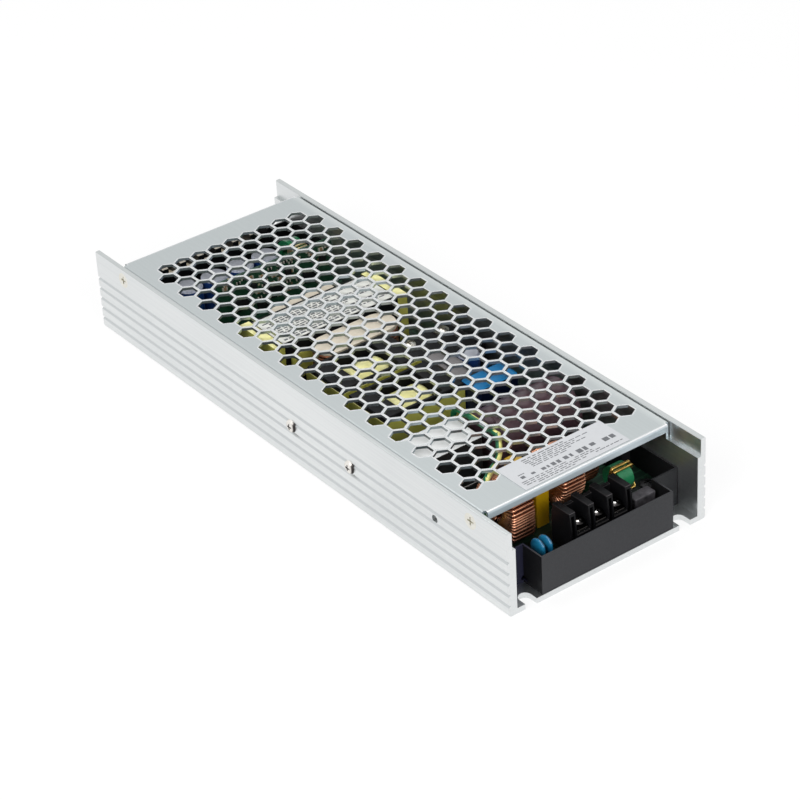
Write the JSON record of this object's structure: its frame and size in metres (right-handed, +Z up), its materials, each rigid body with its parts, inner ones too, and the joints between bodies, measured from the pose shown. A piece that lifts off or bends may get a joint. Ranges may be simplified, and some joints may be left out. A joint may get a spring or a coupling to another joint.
{
  "type": "switching power supply",
  "caption": "Slim fanless switching power supply: grooved aluminium channel, folded hexagon mesh cover, black end insulators and barrier screw terminals at both open ends.",
  "frame": {"origin": "middle of the underside of the channel", "axes": "+Z up out of the mesh cover, +Y along the length from the mains end to the output end, +X across the width"},
  "size_m": [0.0826, 0.232, 0.031],
  "materials": {
    "anodised_aluminium": "fine matt anodised extrusion",
    "cover_sheet": "matt sheet",
    "screw_steel": "zinc plated",
    "dark_steel": "black finish",
    "label_film": "plain silver grey film, no print",
    "insulating_sheet": "black folded film",
    "board_laminate": "dark green solder mask",
    "terminal_plastic": "black moulding",
    "terminal_metal": "nickel plated",
    "blue_coating": "glossy dipped coating",
    "ferrite": "dark sintered ferrite",
    "copper_wire": "enamelled copper",
    "dark_copper": "enamelled copper, darker",
    "green_coating": "green coated ring core",
    "gold_wire": "gold coloured enamelled wire",
    "yellow_case": "yellow moulded case",
    "black_package": "black moulded package",
    "relay_case": "pale grey case",
    "earth_insulation": "green and yellow insulation",
    "maroon_sleeve": "dark maroon sleeve",
    "blue_case": "blue dipped case",
    "yellow_tape": "yellow polyester tape",
    "dark_aluminium": "dark anodised",
    "bar_aluminium": "plain bar",
    "bobbin_plastic": "cream moulding",
    "can_aluminium": "capacitor can with blue grey sleeve"
  },
  "bodies": {
    "root": {"chassis": "anodised_aluminium", "top_cover": "cover_sheet", "cover_screws": "screw_steel", "wall_screws": "screw_steel", "rating_label": "label_film", "base_insulator": "insulating_sheet", "mains_insulator": "insulating_sheet", "output_insulator": "insulating_sheet", "main_board": "board_laminate", "board_standoffs": "screw_steel", "board_screws": "dark_steel", "mains_terminal": "terminal_plastic", "mains_plates": "terminal_metal", "mains_screws": "terminal_metal", "disc_capacitors": "blue_coating", "line_choke_a_core": "ferrite", "line_choke_a_winding": "copper_wire", "line_choke_b_core": "ferrite", "line_choke_b_winding": "copper_wire", "line_choke_c_core": "ferrite", "line_choke_c_winding": "copper_wire", "green_choke_core": "green_coating", "green_choke_winding": "gold_wire", "box_capacitor": "yellow_case", "input_fuse": "black_package", "relay": "relay_case", "earth_wire": "earth_insulation", "bulk_capacitor": "maroon_sleeve", "film_capacitor": "blue_case", "boost_choke_cores": "ferrite", "boost_choke_windings": "yellow_tape", "boost_choke_tapes": "yellow_tape", "primary_heatsink": "dark_aluminium", "bridge_heatsink": "bar_aluminium", "heatsink_screws": "screw_steel", "power_transistors": "black_package", "bias_capacitor": "can_aluminium", "wall_transistors": "black_package", "clamp_bar": "bar_aluminium", "series_bobbin": "bobbin_plastic", "series_winding": "dark_copper", "transformer_core": "ferrite", "transformer_winding": "yellow_tape", "transformer_tape": "yellow_tape", "transformer_bobbin": "bobbin_plastic", "transformer_label": "label_film", "control_board": "board_laminate", "small_parts": "black_package", "output_capacitors": "can_aluminium", "output_choke_core": "green_coating", "output_choke_winding": "copper_wire", "output_terminal": "terminal_plastic", "output_plates": "terminal_metal", "output_screws": "terminal_metal"}
  },
  "joints": []
}
